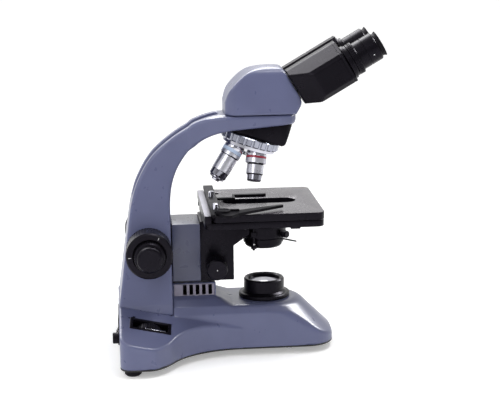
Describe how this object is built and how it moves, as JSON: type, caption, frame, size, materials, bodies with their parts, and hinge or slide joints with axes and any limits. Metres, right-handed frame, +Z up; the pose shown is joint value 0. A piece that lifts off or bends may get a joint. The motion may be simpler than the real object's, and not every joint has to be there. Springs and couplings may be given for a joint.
{
  "type": "microscope",
  "caption": "Binocular compound microscope with an inclined head, rotating nosepiece, mechanical stage, condenser, coaxial focus knobs and a base with a built-in lamp.",
  "frame": {"origin": "on the table, under the middle of the instrument's outline", "axes": "+X to the observer (the eyepiece side), +Y to the side away from the dimmer wheel, +Z up"},
  "size_m": [0.3153, 0.2204, 0.3666],
  "materials": {
    "gray_paint": "blue-grey satin enamel on a die casting",
    "black_paint": "black semi-gloss enamel on metal",
    "black_plastic": "black moulded plastic",
    "sheet_steel": "black enamelled sheet steel",
    "rubber": "soft black rubber",
    "steel": "turned steel",
    "chrome": "satin chrome plate",
    "bare_aluminium": "brushed, clear-anodised",
    "bronze": "sintered bronze",
    "optical_glass": "clear polished glass",
    "ceramic": "white ceramic",
    "circuit_board": "green circuit board"
  },
  "bodies": {
    "frame": {"base_casting": "gray_paint", "bottom_plate": "sheet_steel", "rubber_feet": "rubber", "base_fasteners": "steel", "vent_grilles": "bare_aluminium", "lamp_flange": "black_paint", "collector_barrel": "black_paint", "collector_lens": "optical_glass", "lamp_socket": "ceramic", "lamp_bulb": "optical_glass", "power_board": "circuit_board", "power_inlet": "black_plastic", "fuse_holder": "black_plastic", "switch_frame": "black_plastic", "dimmer_bezel": "black_plastic", "dimmer_pot": "black_plastic", "arm_casting": "gray_paint", "head_seat_ring": "steel", "focus_guide": "steel", "shaft_bushings": "bronze", "nosepiece_housing": "black_paint", "nosepiece_pivot": "steel"},
    "rocker": {"power_rocker": "black_plastic"},
    "dimmer": {"dimmer_wheel": "black_plastic"},
    "focus_block": {"focus_carriage": "gray_paint", "focus_rack": "steel", "stage_bracket": "black_paint", "stage_table": "black_paint"},
    "coarse_drive": {"coarse_shaft": "steel", "coarse_knobs": "black_plastic"},
    "fine_drive": {"fine_focus": "black_plastic"},
    "stage": {"stage_plate": "black_paint", "stage_scale_rail": "bare_aluminium"},
    "carrier": {"slide_carrier": "black_paint", "carrier_screws": "chrome"},
    "finger": {"spring_finger": "black_paint"},
    "y_knob": {"stage_y_knob": "black_plastic"},
    "x_knob": {"stage_x_knob": "black_plastic"},
    "condenser": {"condenser_carrier": "black_paint", "condenser_body": "black_paint", "condenser_lens": "optical_glass", "condenser_clamp_screw": "chrome"},
    "condenser_drive": {"condenser_knob": "black_plastic"},
    "iris": {"iris_ring": "black_paint"},
    "filter": {"filter_holder": "black_paint"},
    "nosepiece": {"turret": "black_paint", "turret_grip_ring": "chrome", "low_power_objective": "chrome", "high_power_objective": "chrome"},
    "head": {"head_housing": "gray_paint", "hinge_shaft": "steel"},
    "left_tube": {"left_prism_box": "black_paint", "left_eyepiece_tube": "black_paint", "left_eyepiece": "black_paint", "left_eyecup": "rubber"},
    "right_tube": {"right_prism_box": "black_paint", "right_eyepiece_tube": "black_paint", "right_eyepiece": "black_paint", "right_eyecup": "rubber"},
    "diopter": {"diopter_ring": "black_paint"}
  },
  "joints": [
    {"name": "rocker_tilt", "type": "hinge", "parent": "frame", "child": "rocker", "pos_m": [-0.149, -0.0545, 0.045], "axis": [0, 1, 0], "range_deg": [-20, 0]},
    {"name": "dimmer_turn", "type": "hinge", "parent": "frame", "child": "dimmer", "pos_m": [-0.11812, -0.06464, 0.03333], "axis": [-0.0742, -0.9384, -0.3374], "range_deg": [-135, 135]},
    {"name": "focus_lift", "type": "slide", "parent": "frame", "child": "focus_block", "axis": [0, 0, 1], "range_m": [-0.0025, 0.0085]},
    {"name": "coarse_turn", "type": "hinge", "parent": "frame", "child": "coarse_drive", "pos_m": [-0.114, 0, 0.128], "axis": [0, -1, 0], "range_deg": [-25, 82]},
    {"name": "fine_turn", "type": "hinge", "parent": "frame", "child": "fine_drive", "pos_m": [-0.114, 0, 0.128], "axis": [0, -1, 0], "continuous": true},
    {"name": "stage_travel_y", "type": "slide", "parent": "focus_block", "child": "stage", "axis": [1, 0, 0], "range_m": [-0.02, 0.02]},
    {"name": "y_knob_turn", "type": "hinge", "parent": "stage", "child": "y_knob", "pos_m": [-0.034, 0.048, 0.138], "axis": [0, 0, 1], "range_deg": [-290, 290]},
    {"name": "slide_travel_x", "type": "slide", "parent": "stage", "child": "carrier", "axis": [0, 1, 0], "range_m": [-0.025, 0.025]},
    {"name": "x_knob_turn", "type": "hinge", "parent": "stage", "child": "x_knob", "pos_m": [-0.034, 0.048, 0.119], "axis": [0, 0, 1], "range_deg": [-360, 360]},
    {"name": "finger_swing", "type": "hinge", "parent": "carrier", "child": "finger", "pos_m": [-0.032, -0.079, 0.176], "axis": [0, 0, 1], "range_deg": [-18, 0], "stiffness_Nm_per_rad": 0.05, "springref_deg": 17.19},
    {"name": "condenser_lift", "type": "slide", "parent": "focus_block", "child": "condenser", "axis": [0, 0, 1], "range_m": [-0.018, 0]},
    {"name": "condenser_knob_turn", "type": "hinge", "parent": "focus_block", "child": "condenser_drive", "pos_m": [-0.038, 0, 0.105], "axis": [0, -1, 0], "range_deg": [-173, 0]},
    {"name": "iris_turn", "type": "hinge", "parent": "condenser", "child": "iris", "pos_m": [0.02, 0, 0.127], "axis": [0, 0, 1], "range_deg": [-35, 35]},
    {"name": "filter_swing", "type": "hinge", "parent": "condenser", "child": "filter", "pos_m": [0.0064, -0.02356, 0.122], "axis": [0, 0, 1], "range_deg": [-90, 0]},
    {"name": "nosepiece_turn", "type": "hinge", "parent": "frame", "child": "nosepiece", "pos_m": [0.02, 0, 0.287], "axis": [-0.309, 0, -0.9511], "continuous": true},
    {"name": "head_turn", "type": "hinge", "parent": "frame", "child": "head", "pos_m": [0.02, 0, 0.276], "axis": [0, 0, 1], "continuous": true},
    {"name": "left_tube_turn", "type": "hinge", "parent": "head", "child": "left_tube", "pos_m": [0.05, 0, 0.3119], "axis": [0.866, 0, 0.5], "range_deg": [-22, 12]},
    {"name": "right_tube_turn", "type": "hinge", "parent": "head", "child": "right_tube", "pos_m": [0.05, 0, 0.3119], "axis": [0.866, 0, 0.5], "range_deg": [-12, 22]},
    {"name": "diopter_turn", "type": "hinge", "parent": "left_tube", "child": "diopter", "pos_m": [0.12195, -0.031, 0.33728], "axis": [0.866, 0, 0.5], "range_deg": [-60, 60]}
  ],
  "couplings": [
    {"joint": "coarse_turn", "follows": "focus_lift", "rad_per_m": 166.67},
    {"joint": "y_knob_turn", "follows": "stage_travel_y", "rad_per_m": 250},
    {"joint": "x_knob_turn", "follows": "slide_travel_x", "rad_per_m": 250},
    {"joint": "condenser_knob_turn", "follows": "condenser_lift", "rad_per_m": 166.67},
    {"joint": "right_tube_turn", "follows": "left_tube_turn", "ratio": -1}
  ]
}
